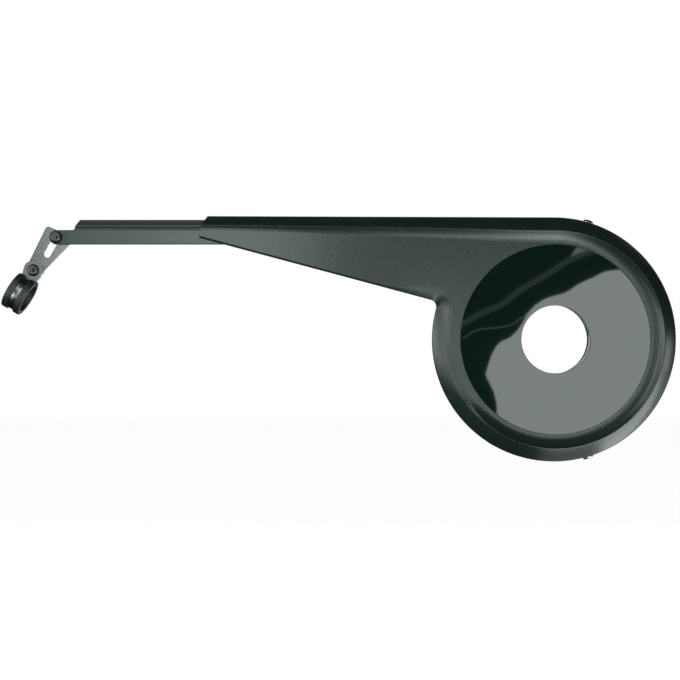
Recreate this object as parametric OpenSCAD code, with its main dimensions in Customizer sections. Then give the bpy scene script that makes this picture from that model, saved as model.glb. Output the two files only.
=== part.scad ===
// Bicycle chain guard: a moulded shell over the chainring and the upper run of the chain, with a gloss
// disc round the crank, a sliding rail and a clamp for the chain stay.
// Millimetres. The crank turns about Y at the origin. -Y faces outward, +X is the front, +Z is up.

/* [Round end] */
// Outer radius of the round end
guard_r = 105.6; // [98:0.1:115]
// Depth of the side wall behind the face
guard_depth = 30; // [26:0.5:36]
// Wall thickness of the moulding
wall = 2.2; // [1.8:0.1:2.4]
// Distance from the outer edge in to the crest of the ridge
crest_inset = 11.2; // [9:0.1:12]
// Height of the ridge over the face
crest_h = 4.5; // [3:0.1:5.5]
// Width of the hollow fillet between crest and face
crest_run = 10.5; // [8:0.1:11]
// Depth at which the sloping shoulder meets the side wall
shoulder_depth = 10; // [8.5:0.1:10.5]

/* [Arm] */
// Length of the arm from the crank axis to its open end
arm_len = 305.3; // [270:0.1:340]
// Height of the arm at its open end
arm_end_h = 19.7; // [18.5:0.1:22]
// Rise of the arm's top edge from the round end to the open end
arm_rise = 1.1; // [0:0.1:1.4]
// Slope of the arm's lower edge in degrees
arm_taper = 15; // [13.5:0.1:16]
// Radius where the lower edge runs into the round end
corner_r = 6; // [4:0.5:9]
// How far the open end slants back at the top
end_slant = 6.5; // [4:0.1:9]

/* [Gloss disc] */
// Radius of the crank hole
crank_hole_r = 29.1; // [26:0.1:32]
// Radius of the gloss disc
disc_r = 81.4; // [76:0.1:81.6]
// Thickness of the gloss disc
disc_t = 1.5; // [1.2:0.1:1.7]
// Gap round the disc in its seat
disc_gap = 0.15; // [0.1:0.05:0.2]
// Length of the collar round the crank hole
collar_len = 4.6; // [4:0.1:5.2]
// Depth of the prise notch beside the crank hole
notch_depth = 1.7; // [1:0.1:3]
// Radius of the disc's snap pegs
peg_r = 1.8; // [1.4:0.1:2.4]

/* [Mount ring] */
// Radius of the mount ring's bore
ring_bore_r = 29.85; // [28:0.05:33]
// Outer radius of the mount ring
ring_r = 44; // [42:0.5:50]
// Thickness of the mount ring's steel
ring_t = 2.5; // [2:0.1:3]
// Depth of the mount ring's front side behind the face
ring_depth = 17.4; // [16:0.1:19]
// Radius of the circle of fixing holes
ring_bolt_circle_r = 37; // [36:0.5:38]
// Radius of a fixing hole
ring_bolt_r = 2.75; // [2.2:0.05:3]
// Width of an arm of the mount ring
ring_arm_w = 17; // [14:0.5:20]
// Angle of each rim screw from the front
rim_screw_angle = 72.8; // [66:0.1:78]

/* [Rail] */
// Reach of the rail's tip from the crank axis
rail_reach = 434.3; // [420:0.1:460]
// Length of rail inside the arm
rail_inside = 104; // [85:0.5:110]
// Thickness of the rail
rail_t = 2; // [1.6:0.1:2.2]
// Height of the rail's web and tongue
tongue_h = 12.5; // [11.5:0.1:13]
// Length of the bare tongue
tongue_len = 21; // [19:0.1:26]
// Depth of the rail's top flange
flange_depth = 19; // [15:0.1:24]
// Running gap between the rail and the shell
rail_gap = 0.4; // [0.3:0.05:0.5]

/* [Stay bracket] */
// Thickness of the bracket plate
plate_t = 1.5; // [1.2:0.1:2]
// Distance between the bracket's two screws
screw_pitch = 34.6; // [32:0.1:40]
// Travel of the pivot screw in the slot
slot_travel = 16.8; // [12:0.1:18]
// Gap between plates that turn on each other
plate_gap = 0.3; // [0.3:0.05:0.4]

/* [Stay clamp] */
// Radius of the bore for the chain stay
stay_r = 12.5; // [10:0.1:13]
// Outer radius of the rubber sleeve
sleeve_r = 16.4; // [16.2:0.1:18]
// Width of the rubber sleeve
sleeve_w = 17; // [15:0.1:20]
// Width of the channel that shows the metal band
channel_w = 5.6; // [4:0.1:7]
// Thickness of the metal band
band_t = 1.2; // [1:0.1:1.3]
// Width of the metal band inside the rubber
band_w = 12.4; // [11:0.1:12.8]
// Radius of the band's round ears
ear_r = 8.6; // [8:0.1:9]
// Distance from the clamp screw to the middle of the sleeve
clamp_reach = 23.4; // [23:0.1:27]
// Turn of the sleeve out of the bracket's plane in degrees
clamp_turn = 2; // [0:1:8]

/* [Screws] */
// Radius of the pivot and clamp screws
screw_r = 2.5; // [2:0.05:2.6]
// Radius of their heads
head_r = 4.3; // [4:0.1:4.6]
// Height of their heads
head_h = 4.8; // [4:0.1:6]
// Width across the flats of their sockets
socket_w = 3.6; // [3:0.1:4]
// Radius of a rim screw
rim_screw_r = 2.5; // [2:0.05:2.7]
// Radius of a rim screw's head
rim_head_r = 4.7; // [4.4:0.1:5.2]
// Height of a rim screw's head
rim_head_h = 2.6; // [2:0.1:3]

/* [Hidden] */

// Roundness of drilled holes and turned faces
$fn = 64;
// Overrun of every cut past the face it opens
over = 1;
// Radial gap of a turning shaft in its hole
run_gap = 0.05;
// Gap between a fastener and the hole it only passes
free_gap = 0.3;
// Widening of the side wall towards its back edge
draft = 0.15;
// Outward swell of the shoulder as a share of its width
swell_share = 0.03;
// Steps round the round end and along each long edge
arc_steps = 57;
edge_steps = 11;

// Section of the rim at places round the outline. Place 0 is the open end's top, 1 the top of the round end,
// 2 its front, 3 its foot, 4 its rear, and 6 the open end's lower edge. The other columns are shares of
// crest_inset, crest_h, crest_run, shoulder_depth and the side wall's depth. Between foot and rear the wall
// is low, so that the lower run of the chain can leave over it.
rim_shares = [
    [0, 0.79, 0.40, 0.46, 1, 0.76],
    [0.5, 0.87, 0.72, 0.74, 1, 0.9],
    [1, 0.95, 1, 1, 1, 1],
    [1.6, 1, 1, 1, 1, 1],
    [3.28, 1, 1, 1, 1, 1],
    [3.38, 1.02, 0.9, 1, 0.9, 0.255],
    [3.62, 1.16, 0.16, 0.85, 0.86, 0.245],
    [3.8, 1.25, 0, 0.72, 0.8, 0.23],
    [4.1, 1.25, 0, 0.72, 0.8, 0.23],
    [4.5, 0.16, 0, 0.1, 0.13, 0],
    [6, 0.16, 0, 0.1, 0.13, 0]
];
end_place = rim_shares[len(rim_shares) - 1][0];
corner_done = rim_shares[len(rim_shares) - 2][0];

// Straight lower edge of the arm: a point is on it where its product with low_in is low_k
low_in = [sin(arm_taper), cos(arm_taper)];
low_along = [cos(arm_taper), -sin(arm_taper)];
arm_top = guard_r + arm_rise;
low_k = [-arm_len, arm_top - arm_end_h] * low_in;
// Centre of the hollow corner where that edge meets the round end
corner_mid = (low_k - corner_r) * low_in
    - sqrt(pow(guard_r + corner_r, 2) - pow(low_k - corner_r, 2)) * low_along;
arc_end = atan2(corner_mid.y, corner_mid.x) - 360;
corner_place = 1 + (90 - arc_end) / 90;
// The swept skin runs this far past the open end before it is trimmed
skin_over = 5;
skin_len = arm_len + skin_over;
end_bow = 0.8;
corner_steps = 3;

function mix(a, b, t) = a + (b - a) * t;
function ease(t) = t * t * (3 - 2 * t);
// A row of rim_shares at any place round the outline
function row_after(p, i = 1) = i < len(rim_shares) - 1 && rim_shares[i][0] < p ? row_after(p, i + 1) : i;
function shares_at(p) =
    let (i = row_after(p), a = rim_shares[i - 1], b = rim_shares[i])
    mix(a, b, ease(min(1, max(0, (p - a[0]) / (b[0] - a[0])))));

// A section of the rim, as distances in from the outer edge and back from the face: outside from the back
// edge over shoulder, crest and fillet to the face, then inside from the face to the back edge
shoulder_shares = [1 / 3, 2 / 3];
fillet_shares = [0, 0.2, 0.45, 0.72, 1];
function section(p) =
    let (
        s = shares_at(p),
        inset = s[1] * crest_inset,
        rise = s[2] * crest_h,
        run = s[3] * crest_run,
        knee = s[4] * shoulder_depth,
        depth = mix(wall, guard_depth, s[5]),
        slope = norm([inset, knee + rise]),
        lift = wall * 0.35,
        inner_knee = min(depth, knee + wall * (slope - knee - rise) / inset)
    )
    concat(
        [[0, depth], [draft, knee]],
        [for (t = shoulder_shares) [
            mix(draft, inset, t) - swell_share * (knee + rise) * sin(180 * t),
            mix(knee, -rise, t) - swell_share * inset * sin(180 * t)
        ]],
        [for (t = fillet_shares) [inset + run * t, -rise * pow(1 - t, 2)]],
        [
            [inset + run + lift, wall],
            [inset + run * 0.45 + lift, wall - rise * 0.3],
            [inset + lift, wall - rise + wall * 0.2 * s[2]],
            [wall + draft, min(depth, inner_knee)],
            [wall, depth]
        ]
    );
section_points = len(section(0));
// The point where the fillet meets the face
foot_point = 1 + len(shoulder_shares) + len(fillet_shares);

// Stations round the outline: a point of the outer edge, the way in from it, and its place
function top_station(t) = [[mix(-skin_len, 0, t), mix(arm_top, guard_r, t)], [0, -1], t];
function arc_station(a) = [guard_r * [cos(a), sin(a)], -[cos(a), sin(a)], 1 + (90 - a) / 90];
function corner_station(t) =
    let (a = mix(arc_end + 180, 90 - arm_taper, t))
    [corner_mid + corner_r * [cos(a), sin(a)], [cos(a), sin(a)], mix(corner_place, corner_done, t)];
low_start = corner_mid + corner_r * low_in;
low_run = (skin_len + low_start.x) / low_along.x;
function low_station(t) = [low_start - low_run * t * low_along, low_in, mix(corner_done, end_place, t)];
low_steps = edge_steps - corner_steps;
stations = concat(
    [for (i = [0:edge_steps]) top_station(i / edge_steps)],
    [for (i = [1:arc_steps]) arc_station(mix(90, arc_end, i / arc_steps))],
    [for (i = [1:corner_steps]) corner_station(i / corner_steps)],
    [for (i = [1:low_steps]) low_station(i / low_steps)]
);
station_count = len(stations);
last = station_count - 1;

// The moulding's skin: the section swept round the outline, closed by flat faces front and back
module skin() {
    points = concat(
        [for (s = stations) for (q = section(s[2])) let (edge = s[0] + s[1] * q.x) [edge.x, q.y, edge.y]],
        [[0, 0, 0], [0, wall, 0]]
    );
    function at(i, k) = i * section_points + k;
    front_mid = station_count * section_points;
    back_mid = front_mid + 1;
    sides = [for (i = [0:last - 1], k = [0:section_points - 2]) if (k != foot_point) each [
        [at(i, k), at(i + 1, k), at(i + 1, k + 1)],
        [at(i, k), at(i + 1, k + 1), at(i, k + 1)]
    ]];
    back_edge = [for (i = [0:last - 1]) each [
        [at(i, section_points - 1), at(i + 1, section_points - 1), at(i + 1, 0)],
        [at(i, section_points - 1), at(i + 1, 0), at(i, 0)]
    ]];
    function plate(k, mid) = concat(
        [for (i = [0:arc_steps - 1]) [mid, at(edge_steps + i, k), at(edge_steps + i + 1, k)]],
        [[mid, at(edge_steps + arc_steps, k), at(edge_steps, k)]],
        [for (j = [0:edge_steps - 1])
            let (t = edge_steps - j, b = edge_steps + arc_steps + j)
            each [[at(t, k), at(b, k), at(b + 1, k)], [at(t, k), at(b + 1, k), at(t - 1, k)]]]
    );
    function flip(faces) = [for (f = faces) [f[0], f[2], f[1]]];
    function end_cap(i) = [
        for (f = [
            [0, 1, 12], [0, 12, 13], [1, 2, 12], [2, 3, 12], [3, 11, 12], [3, 4, 11], [4, 5, 11],
            [5, 6, 11], [6, 10, 11], [6, 7, 10], [7, 8, 10], [8, 9, 10]
        ]) [at(i, f[0]), at(i, f[1]), at(i, f[2])]
    ];
    open_end = concat(
        end_cap(0),
        flip(end_cap(last)),
        [
            [at(0, foot_point), at(last, foot_point), at(last, foot_point + 1)],
            [at(0, foot_point), at(last, foot_point + 1), at(0, foot_point + 1)]
        ]
    );
    front = plate(foot_point, front_mid);
    back = flip(plate(foot_point + 1, back_mid));
    polyhedron(points, concat(sides, back_edge, front, back, open_end), convexity = 10);
}

// Turned and flat stock stand on a plane y = from and reach back to y = to
module turned(r, from, to) translate([0, to, 0]) rotate([90, 0, 0]) cylinder(r = r, h = to - from);
module flat(from, to) translate([0, to, 0]) rotate([90, 0, 0]) linear_extrude(to - from) children();

// Inside of the moulding
seat_back = disc_t;
floor_back = disc_t + wall * 0.8;
seat_r = disc_r + disc_gap;
seat_rim = 1.3;
collar_w = 1.3;
floor_hole_r = crank_hole_r + collar_w + disc_gap;
rib_t = 1.6;
rib_h = 2;
boss_w = 2.4;
floor_rib_count = 12;
peg_count = 6;
peg_circle_r = mix(crank_hole_r, disc_r, 0.62);
peg_turn = 15;
module at_pegs() for (i = [0:peg_count - 1]) rotate([0, i * 360 / peg_count + peg_turn, 0])
    translate([peg_circle_r, 0, 0]) children();

// Rail section: its top flange lies inside the shoulder, its crest inside the ridge. It clears the arm's top
// edge where that is lowest, over the rail's end when it is pushed in
rail_face = wall + rail_gap;
inmost_top = mix(guard_r, arm_top, 0.45);
rail_top = inmost_top - draft - wall - rail_gap * 0.75;
rail_knee = shoulder_depth + wall;
rail_crest = [rail_face - rail_t * 0.6, inmost_top - crest_inset * 0.84];
tongue_drop_share = 1.22;
rail_low = rail_crest.y - tongue_h * tongue_drop_share;
tongue_mid = rail_low + tongue_h / 2;
pivot = [-rail_reach + tongue_h / 2, 0, tongue_mid];
tongue_end_x = -rail_reach + tongue_len;
rail_end_x = -arm_len + rail_inside;
flange_slant = 5;

// Guide hooks that carry the rail
hook_w = 8;
hook_t = 2;
hook_shares = [0.08, 0.31, 0.54];
gusset_shares = [0.06, 0.2, 0.34];
gusset_h = 2;
gusset_depth = 13;

module rail_hook(x) {
    back = rail_face + rail_t + plate_gap;
    translate([x - hook_w / 2, 0, 0]) {
        translate([0, wall / 2, rail_low - plate_gap - hook_t * 1.5])
            cube([hook_w, back + hook_t - wall / 2, hook_t * 1.5]);
        translate([0, back, rail_low - plate_gap - hook_t * 1.5])
            cube([hook_w, hook_t, hook_t * 1.5 + tongue_h * 0.4]);
    }
}

module gusset(x) {
    top = arm_top - wall - draft * 2 - arm_rise;
    translate([x - rib_t / 2, 0, 0]) rotate([90, 0, 90]) linear_extrude(rib_t) polygon([
        [wall / 2, top - crest_inset - crest_run - gusset_h],
        [wall + rib_h, top - crest_inset - crest_run - gusset_h],
        [gusset_depth, top],
        [gusset_depth, top + wall / 2],
        [shoulder_depth, top + wall / 2],
        [shoulder_depth * 0.3, top - crest_inset * 0.5],
        [wall / 2, top - crest_inset - wall]
    ]);
}

module guard_shell() color([0.13, 0.17, 0.15]) difference() {
    union() {
        skin();
        turned(seat_r + seat_rim, wall / 3, floor_back);
        turned(floor_hole_r + boss_w, wall / 3, collar_len);
        for (i = [0:floor_rib_count - 1]) rotate([0, i * 360 / floor_rib_count, 0])
            translate([floor_hole_r + boss_w / 2, floor_back - rib_h / 2, -rib_t / 2])
                cube([seat_r - floor_hole_r - boss_w / 2, rib_h * 1.5, rib_t]);
        for (s = hook_shares) rail_hook(rail_end_x - rail_inside * s);
        for (s = gusset_shares) gusset(-arm_len * s);
    }
    turned(seat_r, -crest_h, seat_back);
    turned(floor_hole_r, -over, collar_len + over);
    at_pegs() turned(peg_r + disc_gap, 0, floor_back + rib_h + over);
    for (s = [-1, 1]) rim_place(s)
        translate([0, 0, guard_r - wall * 3]) cylinder(r = rim_screw_r + free_gap, h = wall * 5);
    // The open end: its face is slightly bowed and its top slants back
    flat(-crest_h - over, guard_depth + over) polygon([
        [-skin_len * 1.1, 0],
        [-arm_len + end_bow, 0],
        [-arm_len, arm_top - arm_end_h + 2 * wall],
        [-arm_len + end_bow, arm_top - crest_inset],
        [-arm_len + end_slant, arm_top - draft],
        [-arm_len + end_slant, arm_top * 1.1],
        [-skin_len * 1.1, arm_top * 1.1]
    ]);
}

module gloss_disc() color([0.1, 0.13, 0.12]) {
    edge = 0.4;
    notch_angle = -5;
    notch_turn = 58;
    difference() {
        rotate([-90, 0, 0]) rotate_extrude() polygon([
            [crank_hole_r, 0],
            [disc_r - edge, 0],
            [disc_r, edge],
            [disc_r, disc_t],
            [crank_hole_r + collar_w, disc_t],
            [crank_hole_r + collar_w, collar_len],
            [crank_hole_r, collar_len]
        ]);
        rotate([0, notch_angle, 0]) rotate([-90, 0, 0]) translate([0, 0, -over])
            rotate_extrude(angle = notch_turn) square([crank_hole_r + notch_depth, over + disc_t * 0.7]);
    }
    at_pegs() turned(peg_r, disc_t / 2, floor_back + rib_h / 2);
}

// Rim screws stand radially in the side wall. Each nut lies on a bent tab of the mount ring, and one of its
// flats faces the ring's arm, which keeps it from turning
nut_w = 4;
rim_screw_y = ring_depth + ring_t + nut_w + plate_gap;
module rim_place(side) rotate([0, 90 - side * rim_screw_angle, 0]) translate([0, rim_screw_y, 0]) children();

tab_r = sqrt(pow(guard_r - wall - draft - plate_gap, 2) - pow(ring_arm_w / 2, 2));
tab_t = ring_t;
module mount_ring() color([0.16, 0.18, 0.18]) difference() {
    union() {
        flat(ring_depth, ring_depth + ring_t) {
            circle(r = ring_r);
            for (s = [-1, 1]) rotate(s * rim_screw_angle) translate([0, -ring_arm_w / 2])
                square([tab_r, ring_arm_w]);
        }
        for (s = [-1, 1]) rotate([0, 90 - s * rim_screw_angle, 0])
            translate([-ring_arm_w / 2, ring_depth + ring_t / 2, tab_r - tab_t])
                cube([ring_arm_w, guard_depth - ring_depth - ring_t / 2 - plate_gap, tab_t]);
    }
    turned(ring_bore_r, ring_depth - over, ring_depth + ring_t + over);
    for (i = [0:2]) rotate([0, i * 120, 0]) translate([-ring_bolt_circle_r, 0, 0])
        turned(ring_bolt_r, ring_depth - over, ring_depth + ring_t + over);
    for (s = [-1, 1]) rim_place(s)
        translate([0, 0, tab_r - 2 * tab_t]) cylinder(r = rim_screw_r + free_gap, h = 3 * tab_t);
}

// Fasteners: nut_w is half the width across a nut's flats
nut_t = 3.2;
washer_t = 0.8;
washer_r = 5.2;
module hex_nut(bore) difference() {
    cylinder(r = nut_w / cos(30), h = nut_t, $fn = 6);
    translate([0, 0, -over]) cylinder(r = bore, h = nut_t + 2 * over);
}
module washer(outer, bore, t) difference() {
    cylinder(r = outer, h = t);
    translate([0, 0, -over]) cylinder(r = bore, h = t + 2 * over);
}
rim_washer_t = 0.5;
rim_seat_r = guard_r + run_gap;
rim_grip = rim_seat_r + rim_washer_t - tab_r + tab_t + nut_t;
module rim_screw(side) color([0.6, 0.62, 0.62])
    rim_place(side) translate([0, 0, rim_seat_r + rim_washer_t]) difference() {
        union() {
            rotate_extrude() polygon([
                [0, 0], [rim_head_r, 0], [rim_head_r, rim_head_h * 0.4],
                [rim_head_r * 0.8, rim_head_h * 0.85], [rim_head_r * 0.5, rim_head_h], [0, rim_head_h]
            ]);
            translate([0, 0, -rim_grip - over]) cylinder(r = rim_screw_r, h = rim_grip + 1.5 * over);
        }
        translate([0, 0, rim_head_h * 0.45]) cylinder(r = rim_screw_r * 0.6, h = rim_head_h, $fn = 6);
    }
module rim_washer(side) color([0.62, 0.64, 0.64])
    rim_place(side) translate([0, 0, rim_seat_r]) washer(rim_head_r, rim_screw_r + run_gap, rim_washer_t);
module rim_nut(side) color([0.55, 0.57, 0.57])
    rim_place(side) translate([0, 0, tab_r - tab_t - nut_t]) hex_nut(rim_screw_r + run_gap);
module upper_rim_screw() rim_screw(1);
module lower_rim_screw() rim_screw(-1);
module upper_rim_washer() rim_washer(1);
module lower_rim_washer() rim_washer(-1);
module upper_rim_nut() rim_nut(1);
module lower_rim_nut() rim_nut(-1);

module extension_rail() color([0.35, 0.39, 0.37]) {
    fillet_run = crest_h * 0.55;
    tip_steps = 15;
    lip = rail_t * 0.35;
    difference() {
        intersection() {
            translate([rail_end_x, 0, 0]) rotate([90, 0, -90]) linear_extrude(rail_reach + rail_end_x + over)
                scale([-1, 1]) polygon([
                    [flange_depth + rail_face, rail_top],
                    [rail_knee, rail_top],
                    [rail_crest.x, rail_crest.y],
                    [rail_face - rail_t * 0.25, rail_crest.y - rail_t * 0.9],
                    [rail_face, rail_crest.y - rail_t - fillet_run],
                    [rail_face, rail_low + lip],
                    [rail_face + lip, rail_low],
                    [rail_face + lip, rail_low - over],
                    [rail_face + rail_t, rail_low - over],
                    [rail_face + rail_t, rail_crest.y - rail_t - fillet_run],
                    [rail_face + rail_t * 0.8, rail_crest.y],
                    [rail_knee + rail_t * 0.4, rail_top - rail_t],
                    [flange_depth + rail_face, rail_top - rail_t]
                ]);
            flat(-crest_h, flange_depth + rail_face + over) polygon(concat(
                [for (i = [0:tip_steps])
                    let (a = mix(90, 270, i / tip_steps))
                    [pivot.x, tongue_mid] + tongue_h / 2 * [cos(a), sin(a)]],
                [
                    [rail_end_x + over, rail_low],
                    [rail_end_x + over, rail_top + over],
                    [tongue_end_x + flange_slant, rail_top + over],
                    [tongue_end_x, tongue_mid + tongue_h / 2]
                ]
            ));
        }
        translate([pivot.x, 0, pivot.z]) turned(screw_r + run_gap, 0, rail_face + rail_t + over);
    }
}

// Stack at the pivot screw, from the front: head, tongue, bracket plate, washer, nut
pivot_seat = rail_face - plate_gap;
plate_front = rail_face + rail_t + plate_gap;
plate_back = plate_front + plate_t;
module cap_screw(seat, tip) difference() {
    union() {
        rotate([90, 0, 0]) translate([0, 0, -seat]) rotate_extrude() polygon([
            [0, 0], [head_r, 0], [head_r, head_h * 0.55], [head_r * 0.9, head_h * 0.8],
            [head_r * 0.66, head_h], [0, head_h]
        ]);
        turned(screw_r, seat - over / 2, tip);
    }
    translate([0, seat - head_h * 0.4, 0]) rotate([90, 0, 0])
        cylinder(r = socket_w / 2 / cos(30), h = head_h, $fn = 6);
}
module washer_on_y(from, outer, bore)
    translate([0, from + washer_t, 0]) rotate([90, 0, 0]) washer(outer, bore, washer_t);
module nut_on_y(from, bore) translate([0, from + nut_t, 0]) rotate([90, 0, 0]) hex_nut(bore);

pivot_nut_y = plate_back + plate_gap + washer_t;
module pivot_screw() color([0.08, 0.09, 0.09])
    translate([pivot.x, 0, pivot.z]) cap_screw(pivot_seat - washer_t, pivot_nut_y + nut_t + over);
module pivot_front_washer() color([0.08, 0.09, 0.09])
    translate([pivot.x, 0, pivot.z]) washer_on_y(pivot_seat - washer_t, washer_r, screw_r + run_gap);
module pivot_rear_washer() color([0.6, 0.62, 0.62])
    translate([pivot.x, 0, pivot.z]) washer_on_y(pivot_nut_y - washer_t, washer_r, screw_r + run_gap);
module pivot_nut() color([0.55, 0.57, 0.57])
    translate([pivot.x, 0, pivot.z]) nut_on_y(pivot_nut_y, screw_r + run_gap);

// Bracket plate: a triangle of three rounded corners, given as shares of screw_pitch from the pivot screw
pitch_angle = 234.8;
slot_angle = 240.5;
slot_gap = 0.4;
clamp_at = pivot + screw_pitch * [cos(pitch_angle), 0, sin(pitch_angle)];
corner_shares = [[-0.215, 0.19], [0.3, -0.06]];
rear_corner_r = 2.7;
front_corner_r = 3.4;
foot_r = 6.8;
module stay_bracket() color([0.62, 0.65, 0.64]) translate([pivot.x, 0, pivot.z]) difference() {
    flat(plate_front, plate_back) hull() {
        translate(corner_shares[0] * screw_pitch) circle(r = rear_corner_r, $fn = 32);
        translate(corner_shares[1] * screw_pitch) circle(r = front_corner_r, $fn = 32);
        translate(screw_pitch * [cos(pitch_angle), sin(pitch_angle)]) circle(r = foot_r, $fn = 32);
    }
    rotate([0, -slot_angle, 0]) {
        turned(screw_r + slot_gap, plate_front - over, plate_back + over);
        translate([slot_travel, 0, 0]) turned(screw_r + slot_gap, plate_front - over, plate_back + over);
        translate([0, plate_front - over, -screw_r - slot_gap])
            cube([slot_travel, plate_t + 2 * over, 2 * (screw_r + slot_gap)]);
    }
    translate(clamp_at - pivot) turned(screw_r + run_gap, plate_front - over, plate_back + over);
}

// Clamp: local X runs from the clamp screw to the middle of the sleeve, local Z along the chain stay
plate_mid = (plate_front + plate_back) / 2;
reach_angle = 239.2;
ear_in = plate_t / 2 + plate_gap;
band_mid_r = (stay_r + sleeve_r) / 2;
module at_clamp() translate([clamp_at.x, plate_mid, clamp_at.z]) rotate([0, -reach_angle, 0]) children();
module at_sleeve() at_clamp() translate([clamp_reach, 0, 0]) rotate([clamp_turn, 0, 0]) children();
module ear() rotate([90, 0, 0]) linear_extrude(band_t) difference() {
    union() {
        circle(r = ear_r);
        polygon([
            [0, -ear_r * 0.95], [clamp_reach - band_mid_r, -band_w / 2],
            [clamp_reach - band_mid_r, band_w / 2], [0, ear_r * 0.95]
        ]);
    }
    circle(r = screw_r + run_gap);
}
module clamp_band() color([0.72, 0.76, 0.74]) {
    at_sleeve() difference() {
        translate([0, 0, -band_w / 2]) difference() {
            cylinder(r = band_mid_r + band_t / 2, h = band_w);
            translate([0, 0, -over]) cylinder(r = band_mid_r - band_t / 2, h = band_w + 2 * over);
        }
        translate([-sleeve_r - over, -ear_in, -sleeve_w]) cube([sleeve_r, 2 * ear_in, 2 * sleeve_w]);
    }
    at_clamp() {
        translate([0, -ear_in, 0]) ear();
        translate([0, ear_in + band_t, 0]) ear();
    }
}
module clamp_sleeve() color([0.07, 0.09, 0.08]) at_sleeve() {
    pocket = 2 * run_gap;
    mouth = ear_in + 2 * band_t;
    edge = 0.8;
    difference() {
        rotate_extrude() difference() {
            polygon([
                [stay_r, -sleeve_w / 2], [sleeve_r - edge, -sleeve_w / 2],
                [sleeve_r, -sleeve_w / 2 + edge], [sleeve_r, sleeve_w / 2 - edge],
                [sleeve_r - edge, sleeve_w / 2], [stay_r, sleeve_w / 2]
            ]);
            translate([band_mid_r - band_t / 2 - pocket, -band_w / 2 - pocket])
                square([band_t + 2 * pocket, band_w + 2 * pocket]);
            translate([band_mid_r, -channel_w / 2]) square([sleeve_r, channel_w]);
        }
        translate([-sleeve_r - over, -mouth, -sleeve_w]) cube([sleeve_r, 2 * mouth, 2 * sleeve_w]);
    }
}
module at_clamp_screw() translate([clamp_at.x, 0, clamp_at.z]) children();
clamp_front = plate_mid - ear_in - band_t;
clamp_back = plate_mid + ear_in + band_t;
module clamp_screw() color([0.08, 0.09, 0.09])
    at_clamp_screw() cap_screw(clamp_front - washer_t, clamp_back + washer_t + nut_t + over);
module clamp_front_washer() color([0.08, 0.09, 0.09])
    at_clamp_screw() washer_on_y(clamp_front - washer_t, washer_r, screw_r + run_gap);
module clamp_rear_washer() color([0.6, 0.62, 0.62])
    at_clamp_screw() washer_on_y(clamp_back, washer_r, screw_r + run_gap);
module clamp_nut() color([0.55, 0.57, 0.57])
    at_clamp_screw() nut_on_y(clamp_back + washer_t, screw_r + run_gap);

guard_shell();
gloss_disc();
mount_ring();
upper_rim_screw();
lower_rim_screw();
upper_rim_washer();
lower_rim_washer();
upper_rim_nut();
lower_rim_nut();
extension_rail();
pivot_screw();
pivot_front_washer();
pivot_rear_washer();
pivot_nut();
stay_bracket();
clamp_band();
clamp_sleeve();
clamp_screw();
clamp_front_washer();
clamp_rear_washer();
clamp_nut();
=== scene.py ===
import math

import bmesh
import bpy
import numpy as np
from mathutils import Matrix, Vector


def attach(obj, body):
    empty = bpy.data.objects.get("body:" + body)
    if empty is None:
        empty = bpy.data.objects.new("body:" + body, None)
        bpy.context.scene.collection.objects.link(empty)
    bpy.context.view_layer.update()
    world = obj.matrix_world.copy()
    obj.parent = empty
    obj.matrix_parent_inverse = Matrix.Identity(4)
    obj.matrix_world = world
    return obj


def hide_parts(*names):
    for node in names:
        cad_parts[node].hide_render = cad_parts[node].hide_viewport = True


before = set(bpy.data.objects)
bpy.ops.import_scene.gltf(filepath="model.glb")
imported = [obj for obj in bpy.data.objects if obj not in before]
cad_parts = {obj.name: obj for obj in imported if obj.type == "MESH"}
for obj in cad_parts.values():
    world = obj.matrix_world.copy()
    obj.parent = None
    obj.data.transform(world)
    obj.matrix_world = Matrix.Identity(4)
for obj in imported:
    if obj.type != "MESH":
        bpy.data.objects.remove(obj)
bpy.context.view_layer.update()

# Moulded shell
# One injection moulding in satin black plastic: a round end over the chainring and a tapering arm over the
# chain's upper run. One section is swept round its outline, and ribs, hooks and gussets stand inside it.
mm = 0.001
guard_r = 105.6 * mm
guard_depth = 30 * mm
wall = 2.2 * mm
crest_inset = 11.2 * mm
crest_h = 4.5 * mm
crest_run = 10.5 * mm
shoulder_depth = 10 * mm
draft = 0.15 * mm
arm_len = 305.3 * mm
arm_end_h = 19.7 * mm
arm_rise = 1.1 * mm
arm_taper = math.radians(15)
corner_r = 6 * mm
end_slant = 6.5 * mm
end_bow = 0.8 * mm
swell_share = 0.03
arm_top = guard_r + arm_rise
skin_len = arm_len + 5 * mm

# Places round the outline: 0 is the open end's top, 1 the top of the round end, 2 its front, 3 its foot, 4 its
# rear and 6 the open end's lower edge. The columns are shares of crest_inset, crest_h, crest_run,
# shoulder_depth and the side wall's depth, and the last is how softly the crest is rounded.
rim_shares = np.array([
    [0, 0.79, 0.40, 0.46, 1, 0.76, 0.3],
    [0.5, 0.89, 0.72, 0.73, 1, 0.9, 0.32],
    [1, 1.13, 1, 0.88, 1, 1, 0.34],
    [1.6, 1.1, 1, 0.9, 1, 1, 0.4],
    [3.28, 1.08, 1, 0.92, 1, 1, 0.45],
    [3.38, 1.08, 0.9, 0.95, 0.9, 0.255, 0.7],
    [3.62, 1.16, 0.16, 0.85, 0.86, 0.245, 2.2],
    [3.8, 1.25, 0, 0.72, 0.8, 0.23, 2.6],
    [4.0, 1.25, 0, 0.72, 0.7, 0.2, 2.6],
    [4.16, 1.2, 0, 0.7, 0.5, 0.14, 2.6],
    [4.5, 0.9, 0, 0.5, 0.13, 0, 1.6],
    [4.8, 0.16, 0, 0.1, 0.13, 0, 0.4],
    [6, 0.16, 0, 0.1, 0.13, 0, 0.4],
])


def mix(a, b, t):
    return a + (b - a) * t


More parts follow.
